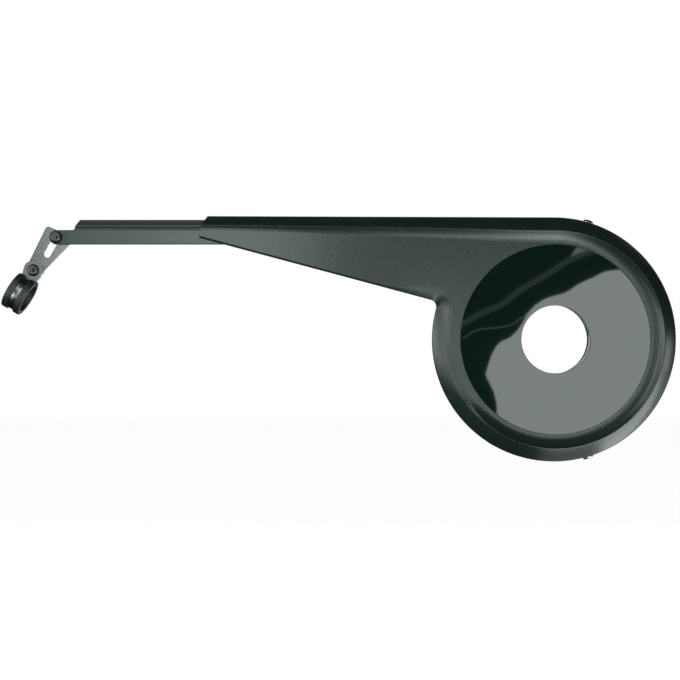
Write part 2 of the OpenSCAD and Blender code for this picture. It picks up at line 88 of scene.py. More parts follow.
def rim_row(place):
    after = min(max(int(np.searchsorted(rim_shares[:, 0], place)), 1), len(rim_shares) - 1)
    a, b = rim_shares[after - 1], rim_shares[after]
    t = min(max((place - a[0]) / (b[0] - a[0]), 0), 1)
    return mix(a, b, t * t * (3 - 2 * t))[1:]


def softened(line, softness):
    """The line sampled finely, with its corners rounded over about softness, a length at each of its points."""
    line = np.array(line)
    run = np.concatenate([[0], np.cumsum(np.linalg.norm(np.diff(line, axis=0), axis=1))])
    fine = np.linspace(0, run[-1], 260)
    reach = 9 * mm
    far = np.linspace(-reach, run[-1] + reach, 420)
    points = np.stack([np.interp(far, run, line[:, k]) for k in (0, 1)], axis=1)
    before, beyond = far < 0, far > run[-1]
    points[before] += np.outer(far[before], (line[1] - line[0]) / run[1])
    points[beyond] += np.outer(far[beyond] - run[-1], (line[-1] - line[-2]) / (run[-1] - run[-2]))
    width = np.interp(fine, run, softness)[:, None]
    weight = np.exp(-0.5 * ((fine[:, None] - far[None, :]) / width) ** 2)
    return (weight / weight.sum(axis=1, keepdims=True)) @ points


def thinned(line, count):
    """The line with count points, close together where it bends."""
    step = np.diff(line, axis=0)
    length = np.linalg.norm(step, axis=1)
    heading = np.unwrap(np.arctan2(step[:, 1], step[:, 0]))
    bend = np.abs(np.gradient(heading))
    share = np.cumsum(length / length.sum() + bend / max(bend.sum(), 1e-9) * 1.6)
    share = np.concatenate([[0], share]) / share[-1]
    at = np.linspace(0, 1, count)
    return np.stack([np.interp(at, share, line[:, k]) for k in (0, 1)], axis=1)


outer_count = 44
inner_count = 18
front_land = 0.6 * mm
back_land = 0.1 * mm
edge_soft = 0.3 * mm
knee_soft = 0.6 * mm


def rim_section(place):
    """Points of the rim's section, as distances in from the outer edge and back from the face."""
    inset, rise, run, knee, deep, soft = rim_row(place)
    high = rise
    inset, rise, run, knee = inset * crest_inset, rise * crest_h, run * crest_run, knee * shoulder_depth
    deep = mix(wall, guard_depth, deep)
    lift = wall * 0.35
    slope = math.hypot(inset, knee + rise)
    inner_knee = min(deep, knee + wall * (slope - knee - rise) / inset)
    outer = [(wall / 2, deep), (0, deep), (draft, knee)]
    softness = [edge_soft, edge_soft, min(knee_soft, (deep - knee) / 2 + edge_soft)]
    for t in np.linspace(0, 1, 7)[1:]:
        swell = swell_share * math.sin(math.pi * t)
        outer.append((mix(draft, inset, t) - swell * (knee + rise), mix(knee, -rise, t) - swell * inset))
        softness.append(mix(knee_soft, soft * mm, t))
    for t in np.linspace(0, 1, 14)[1:]:
        outer.append((inset + run * t, -rise * (1 - t) ** 2))
        softness.append(mix(soft * mm, edge_soft, min(1, 4 * t)))
    outer.append((inset + run + front_land, 0))
    softness.append(edge_soft / 3)
    inner = [
        (inset + run + lift + back_land, wall), (inset + run + lift, wall),
        (inset + run * 0.45 + lift, wall - rise * 0.3),
        (inset + lift, wall - rise + wall * 0.2 * high),
        (wall + draft, min(deep, inner_knee)), (wall, deep), (wall / 2, deep),
    ]
    front = thinned(softened(outer, softness), outer_count)
    back = thinned(softened(inner, [back_land / 3] + [edge_soft] * (len(inner) - 1)), inner_count)
    front[0] = back[-1] = (wall / 2, deep)
    return front, back


low_in = np.array([math.sin(arm_taper), math.cos(arm_taper)])
low_along = np.array([math.cos(arm_taper), -math.sin(arm_taper)])
low_k = np.array([-arm_len, arm_top - arm_end_h]) @ low_in
corner_mid = (low_k - corner_r) * low_in
corner_mid = corner_mid - math.sqrt((guard_r + corner_r) ** 2 - (low_k - corner_r) ** 2) * low_along
arc_end = math.atan2(corner_mid[1], corner_mid[0]) - 2 * math.pi
corner_place = 1 + (math.pi / 2 - arc_end) / (math.pi / 2)
corner_done = 4.5
low_start = corner_mid + corner_r * low_in
low_run = (skin_len + low_start[0]) / low_along[0]


def rim_stations():
    """Each station is a point of the outer edge, the way in from it and its place."""
    for t in np.linspace(0, 1, 70):
        yield np.array([mix(-skin_len, 0, t), mix(arm_top, guard_r, t)]), np.array([0, -1]), t
    for a in np.linspace(math.pi / 2, arc_end, 330)[1:]:
        way = np.array([math.cos(a), math.sin(a)])
        yield guard_r * way, -way, 1 + (math.pi / 2 - a) / (math.pi / 2)
    for t in np.linspace(0, 1, 22)[1:]:
        a = mix(arc_end + math.pi, math.pi / 2 - arm_taper, t)
        way = np.array([math.cos(a), math.sin(a)])
        yield corner_mid + corner_r * way, way, mix(corner_place, corner_done, t)
    for t in np.linspace(0, 1, 60)[1:]:
        yield low_start - low_run * t * low_along, low_in, mix(corner_done, 6, t)


def band(bm, first, second, closed):
    """Faces between two rows of points."""
    for i in range(len(first) if closed else len(first) - 1):
        j = (i + 1) % len(first)
        bm.faces.new((first[i], second[i], second[j], first[j]))


def loop_edges(bm, row):
    return [bm.edges.get(pair) or bm.edges.new(pair) for pair in zip(row, row[1:] + row[:1])]


def circle_row(bm, r, y, count=256):
    turn = [2 * math.pi * i / count for i in range(count)]
    return [bm.verts.new((r * math.cos(a), y, r * math.sin(a))) for a in turn]


def shaded(mesh, sharp):
    """Smooth shading, but for edges over sharp degrees and for the flat faces that look along Y."""
    mesh.shade_smooth()
    mesh.set_sharp_from_angle(angle=math.radians(sharp))
    for face in mesh.polygons:
        if abs(face.normal.y) > 0.99999:
            face.use_smooth = False


def made(bm, name, sharp=34):
    """An object of the finished mesh, its faces turned outward and its edges over sharp degrees left crisp."""
    bmesh.ops.remove_doubles(bm, verts=bm.verts, dist=1e-7)
    bmesh.ops.recalc_face_normals(bm, faces=bm.faces)
    mesh = bpy.data.meshes.new(name)
    bm.to_mesh(mesh)
    bm.free()
    shaded(mesh, sharp)
    piece = bpy.data.objects.new(name, mesh)
    bpy.context.scene.collection.objects.link(piece)
    return piece


def combined(piece, tool, operation, sharp=34):
    """piece joined to or cut by tool, which is used up."""
    work = piece.modifiers.new("combine", "BOOLEAN")
    work.object = tool
    work.operation = operation
    work.solver = "EXACT"
    seen = piece.evaluated_get(bpy.context.evaluated_depsgraph_get())
    mesh = bpy.data.meshes.new_from_object(seen)
    piece.modifiers.clear()
    piece.data = mesh
    shaded(mesh, sharp)
    bpy.data.objects.remove(tool)
    return piece


def prism(bm, outline, low, high, place=Matrix.Identity(4)):
    """A solid with that outline in x and z between y = low and y = high, then set in its place."""
    rows = [[bm.verts.new(place @ Vector((x, y, z))) for x, z in outline] for y in (low, high)]
    band(bm, rows[0], rows[1], True)
    bm.faces.new(rows[0])
    bm.faces.new(rows[1][::-1])


def rectangle(x0, z0, x1, z1):
    return [(x0, z0), (x1, z0), (x1, z1), (x0, z1)]


def round_outline(x, z, r, count=48):
    turn = [2 * math.pi * i / count for i in range(count)]
    return [(x + r * math.cos(a), z + r * math.sin(a)) for a in turn]


disc_t = 1.5 * mm
disc_gap = 0.15 * mm
seat_r = 81.4 * mm + disc_gap
seat_rim = 1.3 * mm
floor_back = disc_t + wall * 0.8
crank_hole_r = 29.1 * mm
collar_w = 1.3 * mm
collar_len = 4.6 * mm
floor_hole_r = crank_hole_r + collar_w + disc_gap
boss_w = 2.4 * mm
small_edge = 0.25 * mm

bm = bmesh.new()
stations = list(rim_stations())
sections = [rim_section(place) for _, _, place in stations]
rows = []
for side, count in ((0, outer_count), (1, inner_count)):
    for k in range(count):
        row = []
        for (edge, way, _), section in zip(stations, sections):
            inset, depth = section[side][k]
            at = edge + way * inset
            row.append(bm.verts.new((at[0], depth, at[1])))
        rows.append(row)
front_row, back_row = rows[outer_count - 1], rows[outer_count]
for k in range(len(rows) - 1):
    if k != outer_count - 1:
        band(bm, rows[k], rows[k + 1], False)
for end in (0, -1):
    bm.faces.new([row[end] for row in rows[:-1]])
bm.faces.new((front_row[0], back_row[0], back_row[-1], front_row[-1]))
seat_edge = 0.08 * mm
seat_profile = [
    (seat_r + seat_edge, 0), (seat_r, seat_edge), (seat_r, disc_t), (floor_hole_r, disc_t),
    (floor_hole_r, collar_len - small_edge), (floor_hole_r + small_edge, collar_len),
    (floor_hole_r + boss_w - small_edge, collar_len), (floor_hole_r + boss_w, collar_len - small_edge),
    (floor_hole_r + boss_w, floor_back), (seat_r + seat_rim, floor_back), (seat_r + seat_rim, wall),
]
seat_rows = [circle_row(bm, r, y) for r, y in seat_profile]
for first, second in zip(seat_rows, seat_rows[1:]):
    band(bm, first, second, True)
for row, seat_row in ((front_row, seat_rows[0]), (back_row, seat_rows[-1])):
    edges = loop_edges(bm, row) + loop_edges(bm, seat_row)
    bmesh.ops.triangle_fill(bm, use_beauty=True, use_dissolve=False, edges=edges)
shell = made(bm, "moulded_shell")

rib_t = 1.6 * mm
rib_h = 2 * mm
plate_gap = 0.3 * mm
rail_gap = 0.4 * mm
rail_t = 2 * mm
tongue_h = 12.5 * mm
rail_inside = 104 * mm
rail_face = wall + rail_gap
inmost_top = mix(guard_r, arm_top, 0.45)
rail_crest = inmost_top - crest_inset * 0.84
rail_low = rail_crest - tongue_h * 1.22
rail_end_x = -arm_len + rail_inside
hook_w = 8 * mm
hook_t = 2 * mm
gusset_depth = 13 * mm
bm = bmesh.new()
for i in range(12):
    turn = Matrix.Rotation(math.radians(30 * i), 4, "Y")
    rib = rectangle(floor_hole_r + boss_w / 2, -rib_t / 2, seat_r, rib_t / 2)
    prism(bm, rib, floor_back - rib_h / 2, floor_back + rib_h, turn)
hook_back = rail_face + rail_t + plate_gap
hook_low = rail_low - plate_gap - hook_t * 1.5
for share in (0.08, 0.31, 0.54):
    x = rail_end_x - rail_inside * share
    hook = [
        (wall / 2, hook_low), (hook_back + hook_t, hook_low), (hook_back + hook_t, rail_low + tongue_h * 0.4),
        (hook_back, rail_low + tongue_h * 0.4), (hook_back, rail_low - plate_gap),
        (wall / 2, rail_low - plate_gap),
    ]
    sideways = Matrix(((0, 1, 0, 0), (1, 0, 0, 0), (0, 0, 1, 0), (0, 0, 0, 1)))
    prism(bm, hook, x - hook_w / 2, x + hook_w / 2, sideways)
gusset_top = arm_top - wall - draft * 2 - arm_rise
for share in (0.06, 0.2, 0.34):
    x = -arm_len * share
    gusset = [
        (wall / 2, gusset_top - crest_inset - crest_run - rib_h),
        (wall + rib_h, gusset_top - crest_inset - crest_run - rib_h),
        (gusset_depth, gusset_top), (gusset_depth, gusset_top + wall / 2),
        (shoulder_depth, gusset_top + wall / 2), (shoulder_depth * 0.3, gusset_top - crest_inset * 0.5),
        (wall / 2, gusset_top - crest_inset - wall),
    ]
    prism(bm, gusset, x - rib_t / 2, x + rib_t / 2, sideways)
shell = combined(shell, made(bm, "ribs"), "UNION")

rim_screw_angle = math.radians(72.8)
rim_hole_r = 2.8 * mm
ring_depth = 17.4 * mm
ring_t = 2.5 * mm
nut_w = 4 * mm
rim_screw_y = ring_depth + ring_t + nut_w + plate_gap
peg_circle_r = mix(crank_hole_r, 81.4 * mm, 0.62)
peg_r = 1.8 * mm
peg_turns = [math.radians(60 * i - 15) for i in range(6)]


def rim_place(side):
    """Matrix of a radial rim screw: its Z runs out through the side wall."""
    turn = Matrix.Rotation(math.pi / 2 - side * rim_screw_angle, 4, "Y")
    return turn @ Matrix.Translation((0, rim_screw_y, 0))


upright = Matrix.Rotation(math.pi / 2, 4, "X")
bm = bmesh.new()
end_outline = [
    (-skin_len * 1.1, 0), (-arm_len + end_bow, 0), (-arm_len, arm_top - arm_end_h + 2 * wall),
    (-arm_len + end_bow, arm_top - crest_inset), (-arm_len + end_slant, arm_top - draft),
    (-arm_len + end_slant, arm_top * 1.1), (-skin_len * 1.1, arm_top * 1.1),
]
prism(bm, end_outline, -crest_h - wall, guard_depth + wall)
for side in (-1, 1):
    place = rim_place(side) @ upright
    prism(bm, round_outline(0, 0, rim_hole_r), -guard_r - wall, -guard_r + 3 * wall, place)
for a in peg_turns:
    x, z = peg_circle_r * math.cos(a), peg_circle_r * math.sin(a)
    prism(bm, round_outline(x, z, peg_r + disc_gap, 24), disc_t / 2, floor_back + 2 * rib_h)
shell = combined(shell, made(bm, "cuts"), "DIFFERENCE")


def finish(name, colour, roughness, metallic=0.0, grain=0.4 * mm, relief=0.01 * mm, uneven=0.05, mottle=0.06,
           stretch=(1, 1, 1)):
    """A procedural finish: fine grain as bump, uneven roughness and a slight mottle of the colour."""
    material = bpy.data.materials.new(name)
    material.use_nodes = True
    nodes, links = material.node_tree.nodes, material.node_tree.links
    shader = nodes["Principled BSDF"]
    shader.inputs["Metallic"].default_value = metallic
    where = nodes.new("ShaderNodeTexCoord")
    scaled = nodes.new("ShaderNodeMapping")
    scaled.inputs["Scale"].default_value = stretch
    links.new(where.outputs["Object"], scaled.inputs["Vector"])

    def noise(size, detail):
        texture = nodes.new("ShaderNodeTexNoise")
        texture.inputs["Scale"].default_value = 1 / size
        texture.inputs["Detail"].default_value = detail
        links.new(scaled.outputs["Vector"], texture.inputs["Vector"])
        return texture.outputs["Fac"]

    def ranged(value, low, high):
        spread = nodes.new("ShaderNodeMapRange")
        spread.inputs["From Min"].default_value = 0.15
        spread.inputs["From Max"].default_value = 0.85
        spread.inputs["To Min"].default_value = low
        spread.inputs["To Max"].default_value = high
        links.new(value, spread.inputs["Value"])
        return spread.outputs["Result"]

    bump = nodes.new("ShaderNodeBump")
    bump.inputs["Strength"].default_value = 1
    bump.inputs["Distance"].default_value = relief
    links.new(noise(grain, 2), bump.inputs["Height"])
    links.new(bump.outputs["Normal"], shader.inputs["Normal"])
    links.new(ranged(noise(5 * mm, 3), roughness - uneven, roughness + uneven), shader.inputs["Roughness"])
    blend = nodes.new("ShaderNodeMix")
    blend.data_type = "RGBA"
    blend.inputs["A"].default_value = (*[c * (1 - mottle) for c in colour], 1)
    blend.inputs["B"].default_value = (*[min(1, c * (1 + mottle)) for c in colour], 1)
    links.new(ranged(noise(12 * mm, 4), 0, 1), blend.inputs["Factor"])
    links.new(blend.outputs["Result"], shader.inputs["Base Color"])
    return material


def dress(piece, material, body, slot, *nodes):
    """Gives a piece its finish and its body, and hides the imported solids that it stands for."""
    piece.data.materials.clear()
    piece.data.materials.append(material)
    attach(piece, body)
    if nodes:
        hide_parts(*nodes)


satin_black = finish("satin_black_plastic", (0.007, 0.0155, 0.012), 0.27, uneven=0.015, mottle=0.04)
dress(shell, satin_black, "guard", "satin_plastic", "guard_shell")

# Gloss disc
# A polished black plastic disc that snaps into the round end on six pegs. A collar round its crank hole goes
# through the shell's floor, and a shallow prise notch beside the hole lets it be levered out.
disc_r = 81.4 * mm
notch_depth = 1.7 * mm
disc_edge = 0.12 * mm


def turned(bm, profile, place=Matrix.Identity(4), count=96, closed=True, flats=()):
    """Turns a profile of radius and height round Z. The rows that flats names are hexagons of that half width."""
    rows = []
    for k, (r, z) in enumerate(profile):
        row = []
        for i in range(count):
            a = 2 * math.pi * i / count
            far = r
            if k in flats:
                far = r / math.cos((a + math.pi / 6) % (math.pi / 3) - math.pi / 6)
            row.append(bm.verts.new(place @ Vector((far * math.cos(a), far * math.sin(a), z))))
        rows.append(row)
    for k in range(len(rows) if closed else len(rows) - 1):
        band(bm, rows[k], rows[(k + 1) % len(rows)], True)


inward = Matrix.Rotation(-math.pi / 2, 4, "X")
bm = bmesh.new()
disc_profile = [
    (crank_hole_r, small_edge), (crank_hole_r + small_edge / 2, 0.05 * mm), (crank_hole_r + small_edge, 0),
    (disc_r - disc_edge, 0), (disc_r - disc_edge * 0.4, disc_edge * 0.2), (disc_r, disc_edge),
    (disc_r, disc_t), (crank_hole_r + collar_w, disc_t), (crank_hole_r + collar_w, collar_len - small_edge),
    (crank_hole_r + collar_w - small_edge, collar_len), (crank_hole_r + small_edge, collar_len),
    (crank_hole_r, collar_len - small_edge),
]
turned(bm, disc_profile, inward, 288)
disc = made(bm, "gloss_disc_face")
bm = bmesh.new()
notch_turns = np.radians(np.linspace(5, -53, 40))
bite = [notch_depth * math.sin(math.pi * (i + 0.5) / 40) ** 0.4 for i in range(40)]
notch = [((crank_hole_r + b) * math.cos(a), (crank_hole_r + b) * math.sin(a)) for a, b in zip(notch_turns, bite)]
inner_r = crank_hole_r - notch_depth
notch += [(inner_r * math.cos(a), inner_r * math.sin(a)) for a in notch_turns[::-1]]
prism(bm, notch, -disc_t, disc_t * 0.7)
disc = combined(disc, made(bm, "notch"), "DIFFERENCE")
bm = bmesh.new()
for a in peg_turns:
    x, z = peg_circle_r * math.cos(a), peg_circle_r * math.sin(a)
    prism(bm, round_outline(x, z, peg_r, 24), disc_t / 2, floor_back + rib_h / 2)
disc = combined(disc, made(bm, "pegs"), "UNION")
gloss_black = finish("gloss_black_plastic", (0.003, 0.009, 0.0065), 0.02, grain=40 * mm, relief=0.004 * mm,
                     uneven=0.004)
dress(disc, gloss_black, "guard", "gloss_plastic", "gloss_disc")

# Mount ring
# A pressed steel ring in black behind the disc. It bolts to the bottom bracket, and two arms with bent tabs
# reach out to the screws in the shell's rim.
ring_bore_r = 29.85 * mm
ring_r = 44 * mm
ring_bolt_circle_r = 37 * mm
ring_bolt_r = 2.75 * mm
ring_arm_w = 17 * mm
bend_r = 2 * mm
tab_r = math.sqrt((guard_r - wall - draft - plate_gap) ** 2 - (ring_arm_w / 2) ** 2)


def shifted(row, distance):
    """An outline moved inward by a distance, for one that runs anticlockwise."""
    row = np.array(row)
    ahead = np.roll(row, -1, axis=0) - row
    behind = row - np.roll(row, 1, axis=0)
    ahead /= np.linalg.norm(ahead, axis=1, keepdims=True)
    behind /= np.linalg.norm(behind, axis=1, keepdims=True)
    way = np.stack([-(ahead + behind)[:, 1], (ahead + behind)[:, 0]], axis=1)
    way /= np.linalg.norm(way, axis=1, keepdims=True)
    lean = np.clip(way[:, 0] * -ahead[:, 1] + way[:, 1] * ahead[:, 0], 0.4, 1)[:, None]
    return row + way * distance / lean


def sheet_plate(bm, outline, holes, front, back, edge, place=Matrix.Identity(4)):
    """A flat plate between y = front and y = back, with broken edges outside and round its holes."""
    ends = ([], [])
    for row, sign in [(outline, 1)] + [(hole, -1) for hole in holes]:
        levels = ((front, edge), (front + edge, 0), (back - edge, 0), (back, edge))
        loops = []
        for y, in_by in levels:
            flat = shifted(row, sign * in_by)
            loops.append([bm.verts.new(place @ Vector((x, y, z))) for x, z in flat])
        for first, second in zip(loops, loops[1:]):
            band(bm, first, second, True)
        ends[0].extend(loop_edges(bm, loops[0]))
        ends[1].extend(loop_edges(bm, loops[-1]))
    for edges in ends:
        bmesh.ops.triangle_fill(bm, use_beauty=True, use_dissolve=False, edges=edges)


def ring_outline():
    half = math.asin(ring_arm_w / 2 / ring_r)
    points = []
    for start, side in ((-1, -1), (1, 1)):
        turn = side * rim_screw_angle
        way = np.array([math.cos(turn), math.sin(turn)])
        across = np.array([-way[1], way[0]])
        reach = tab_r - ring_t
        points += [way * reach - across * ring_arm_w / 2, way * reach + across * ring_arm_w / 2]
        following = rim_screw_angle if side < 0 else 2 * math.pi - rim_screw_angle
        points += [
            ring_r * np.array([math.cos(a), math.sin(a)])
            for a in np.linspace(turn + half, following - half, 40 if side < 0 else 90)
        ]
    return points


bm = bmesh.new()
bolt_holes = []
for i in range(3):
    a = math.pi + math.radians(120 * i)
    bolt_holes.append(
        round_outline(ring_bolt_circle_r * math.cos(a), ring_bolt_circle_r * math.sin(a), ring_bolt_r, 32)
    )
ring_holes = [round_outline(0, 0, ring_bore_r, 160)] + bolt_holes
sheet_plate(bm, ring_outline(), ring_holes, ring_depth, ring_depth + ring_t, small_edge)
ring = made(bm, "mount_ring_plate")
bm = bmesh.new()
tab_end = guard_depth - plate_gap
for side in (-1, 1):
    bend = []
    for a in np.radians(np.linspace(0, 90, 8)):
        bend.append((ring_depth + (bend_r + ring_t) * (1 - math.sin(a)), tab_r - (bend_r + ring_t) * (1 - math.cos(a))))
    bend = bend[::-1]
    inside = []
    for a in np.radians(np.linspace(0, 90, 8)):
        inside.append((ring_depth + ring_t + bend_r * (1 - math.sin(a)), tab_r - ring_t - bend_r * (1 - math.cos(a))))
    start = tab_r - ring_t - bend_r - wall
    tab = [(ring_depth, start)] + bend + [(tab_end, tab_r), (tab_end, tab_r - ring_t)] + inside
    tab += [(ring_depth + ring_t, start)]
    turn = Matrix.Rotation(math.pi / 2 - side * rim_screw_angle, 4, "Y")
    prism(bm, tab, -ring_arm_w / 2, ring_arm_w / 2, turn @ sideways)
ring = combined(ring, made(bm, "tabs"), "UNION")
bm = bmesh.new()
for side in (-1, 1):
    prism(bm, round_outline(0, 0, rim_hole_r), -tab_r - ring_t, -tab_r + 2 * ring_t, rim_place(side) @ upright)
ring = combined(ring, made(bm, "tab_holes"), "DIFFERENCE")
black_steel = finish("black_coated_steel", (0.012, 0.016, 0.014), 0.4, metallic=0.0, grain=0.6 * mm,
                     relief=0.02 * mm)
dress(ring, black_steel, "guard", "black_steel", "mount_ring")

# Rim screws, washers and nuts
# Zinc plated M5 screws with low heads and hex sockets. They stand radially in the side wall, each with a thin
# washer outside and a nut behind the mount ring's tab.
rim_screw_r = 2.5 * mm
rim_head_r = 4.7 * mm
rim_head_h = 2.6 * mm
rim_washer_t = 0.5 * mm
nut_t = 3.2 * mm
thread_pitch = 0.8 * mm
thread_depth = 0.35 * mm
run_gap = 0.05 * mm
rim_seat_r = guard_r + run_gap


def shank(bm, r, top, tip, threaded_to, place):
    """A screw's shank down from z = top to z = tip, with a helical thread below threaded_to."""
    count = 32
    steps = max(2, math.ceil((threaded_to - tip) / thread_pitch * 8))
    levels = [top] + list(np.linspace(threaded_to, tip, steps))
    rows = []
    for k, z in enumerate(levels):
        row = []
        for i in range(count):
            turn = i / count
            wave = abs(((z / thread_pitch - turn) % 1) * 2 - 1)
            fade = min(1, (z - tip) / thread_pitch + 0.3) * min(1, k / 3)
            far = r - thread_depth * wave * fade - thread_depth * 0.8 * max(0, 1 - (z - tip) / thread_pitch)
            a = 2 * math.pi * turn
            row.append(bm.verts.new(place @ Vector((far * math.cos(a), far * math.sin(a), z))))
        rows.append(row)
    for first, second in zip(rows, rows[1:]):
        band(bm, first, second, True)
    bm.faces.new(rows[0])
    bm.faces.new(rows[-1][::-1])


def washer_ring(bm, outer, bore, low, high, place):
    edge = (high - low) * 0.25
    turned(bm, [
        (bore, low), (outer - edge, low), (outer, low + edge), (outer, high - edge), (outer - edge, high),
        (bore, high),
    ], place, 64)


def hex_nut(bm, bore, low, place):
    """A nut from z = low, its corners chamfered on both sides."""
    high = low + nut_t
    drop = nut_t * 0.13
    turned(bm, [
        (bore, low + drop / 2), (bore + drop / 2, low), (nut_w * 0.94, low), (nut_w, low + drop),
        (nut_w, high - drop), (nut_w * 0.94, high), (bore + drop / 2, high), (bore, high - drop / 2),
    ], place, 72, flats=(3, 4))


bright_zinc = finish("bright_zinc", (0.36, 0.375, 0.37), 0.2, metallic=1.0, grain=0.8 * mm, relief=0.006 * mm,
                     uneven=0.08)
for side, level in ((1, "upper"), (-1, "lower")):
    place = rim_place(side)
    head_seat = rim_seat_r + rim_washer_t
    bm = bmesh.new()
    socket_w = rim_screw_r * 0.6
    turned(bm, [
        (rim_screw_r, head_seat), (rim_head_r * 0.97, head_seat), (rim_head_r, head_seat + rim_head_h * 0.1),
        (rim_head_r, head_seat + rim_head_h * 0.4), (rim_head_r * 0.93, head_seat + rim_head_h * 0.65),
        (rim_head_r * 0.8, head_seat + rim_head_h * 0.85), (rim_head_r * 0.62, head_seat + rim_head_h * 0.97),
        (rim_head_r * 0.5, head_seat + rim_head_h), (socket_w * 1.12, head_seat + rim_head_h),
        (socket_w, head_seat + rim_head_h * 0.9), (socket_w, head_seat + rim_head_h * 0.45),
        (0, head_seat + rim_head_h * 0.4), (0, head_seat),
    ], place, 72, flats=(8, 9, 10))
    nut_low = tab_r - ring_t - nut_t
    shank(bm, rim_screw_r, head_seat + run_gap, nut_low - 1 * mm, guard_r - wall, place)
    screw = made(bm, f"{level}_rim_cap_screw")
    dress(screw, bright_zinc, "guard", "zinc_steel", f"{level}_rim_screw")
    bm = bmesh.new()
    washer_ring(bm, rim_head_r, rim_screw_r + run_gap, rim_seat_r, rim_seat_r + rim_washer_t, place)
    washer = made(bm, f"{level}_rim_flat_washer")
    dress(washer, bright_zinc, "guard", "zinc_steel", f"{level}_rim_washer")
    bm = bmesh.new()
    hex_nut(bm, rim_screw_r + run_gap, nut_low, place)
    nut = made(bm, f"{level}_rim_hex_nut", 20)
    dress(nut, bright_zinc, "guard", "zinc_steel", f"{level}_rim_nut")

# Extension rail
# A straight plastic rail that slides in the arm on moulded hooks. It has a top flange, a ridge like the arm's,
# a flat web, and a bare round-ended tongue that takes the pivot screw.
rail_reach = 434.3 * mm
tongue_len = 21 * mm
flange_depth = 19 * mm
flange_slant = 5 * mm
rail_top = inmost_top - draft - wall - rail_gap * 0.75
rail_knee = shoulder_depth + wall
rail_mid = rail_low + tongue_h / 2
pivot = Vector((-rail_reach + tongue_h / 2, 0, rail_mid))
tongue_end_x = -rail_reach + tongue_len
screw_r = 2.5 * mm
fillet_run = crest_h * 0.55
rail_line = [
    (flange_depth + rail_face, rail_top), (rail_knee, rail_top),
    (rail_face - rail_t * 0.6, rail_crest + rail_t * 0.6), (rail_face - rail_t * 0.6, rail_crest + rail_t * 0.15),
    (rail_face + rail_t * 0.3, rail_crest - rail_t * 0.85), (rail_face, rail_crest - rail_t * 1.45),
    (rail_face, rail_low + rail_t * 0.35), (rail_face + rail_t * 0.35, rail_low),
    (rail_face + rail_t, rail_low), (rail_face + rail_t, rail_crest - rail_t - fillet_run),
    (rail_face + rail_t * 0.8, rail_crest), (rail_knee + rail_t * 0.4, rail_top - rail_t),
    (flange_depth + rail_face, rail_top - rail_t),
]
rail_round = [0.5, 1.0, 0.4, 0.3, 0.5, 0.6, 0.25, 0.25, 0.5, 1.5, 1.5, 1.0, 0.5]


def rounded(outline, reaches, steps=6):
    """An outline whose corners are replaced by curves that start that far from each, in millimetres."""
    row = np.array(outline)
    points = []
    for k, reach in enumerate(reaches):
        before, corner, after = row[k - 1], row[k], row[(k + 1) % len(row)]
        back, ahead = before - corner, after - corner
        near = min(reach * mm, 0.45 * np.linalg.norm(back), 0.45 * np.linalg.norm(ahead))
        start = corner + back / np.linalg.norm(back) * near
        stop = corner + ahead / np.linalg.norm(ahead) * near
        for t in np.linspace(0, 1, steps):
            points.append(start * (1 - t) ** 2 + corner * 2 * t * (1 - t) + stop * t ** 2)
    return points


bm = bmesh.new()
prism(bm, rounded(rail_line, rail_round), -rail_reach - wall, rail_end_x, sideways)
rail = made(bm, "sliding_rail")
tip = [
    (pivot.x + tongue_h / 2 * math.cos(a), rail_mid + tongue_h / 2 * math.sin(a))
    for a in np.radians(np.linspace(90, 270, 40))
]
kept = tip + [
    (rail_end_x + wall, rail_low - wall), (rail_end_x + wall, rail_top + wall),
    (tongue_end_x + flange_slant, rail_top + wall),
    (tongue_end_x + 0.7 * mm, rail_mid + tongue_h / 2 + 0.9 * mm),
    (tongue_end_x - 0.2 * mm, rail_mid + tongue_h / 2 + 0.15 * mm),
    (tongue_end_x - 1.2 * mm, rail_mid + tongue_h / 2),
]
bm = bmesh.new()
prism(bm, kept, -crest_h, flange_depth + rail_face + wall)
rail = combined(rail, made(bm, "kept"), "INTERSECT")
bm = bmesh.new()
prism(bm, round_outline(pivot.x, pivot.z, screw_r + run_gap), 0, rail_face + 2 * rail_t)
rail = combined(rail, made(bm, "pivot_hole"), "DIFFERENCE")
rail_plastic = finish("satin_rail_plastic", (0.018, 0.03, 0.024), 0.3, grain=0.35 * mm, uneven=0.02,
                      mottle=0.04, stretch=(0.15, 1, 1))
dress(rail, rail_plastic, "rail", "rail_plastic", "extension_rail")

# Pivot and clamp screws
# Black coated M5 cap screws with hex sockets, each with a black washer in front and a zinc washer and nut
# behind. The first clamps the bracket to the rail's tongue, the second the sleeve's band to the bracket.
plate_t = 1.5 * mm
washer_t = 0.8 * mm
washer_r = 5.2 * mm
head_r = 4.3 * mm
head_h = 4.8 * mm
socket_w = 3.6 * mm
band_t = 1.2 * mm
screw_pitch = 34.6 * mm
pitch_angle = math.radians(234.8)
plate_front = rail_face + rail_t + plate_gap
plate_back = plate_front + plate_t
plate_mid = (plate_front + plate_back) / 2
ear_in = plate_t / 2 + plate_gap
clamp_at = pivot + screw_pitch * Vector((math.cos(pitch_angle), 0, math.sin(pitch_angle)))
outward = Matrix.Rotation(math.pi / 2, 4, "X")
head_black = finish("black_cap_screw", (0.058, 0.064, 0.061), 0.1, metallic=1.0, grain=2 * mm, relief=0.002 * mm,
                    uneven=0.02)
washer_black = finish("black_washer", (0.012, 0.015, 0.014), 0.3, metallic=1.0, relief=0.002 * mm)
zinc_plate = finish("zinc_plated_steel", (0.225, 0.235, 0.231), 0.27, metallic=1.0, grain=1.2 * mm,
                    relief=0.002 * mm, uneven=0.04, mottle=0.05)


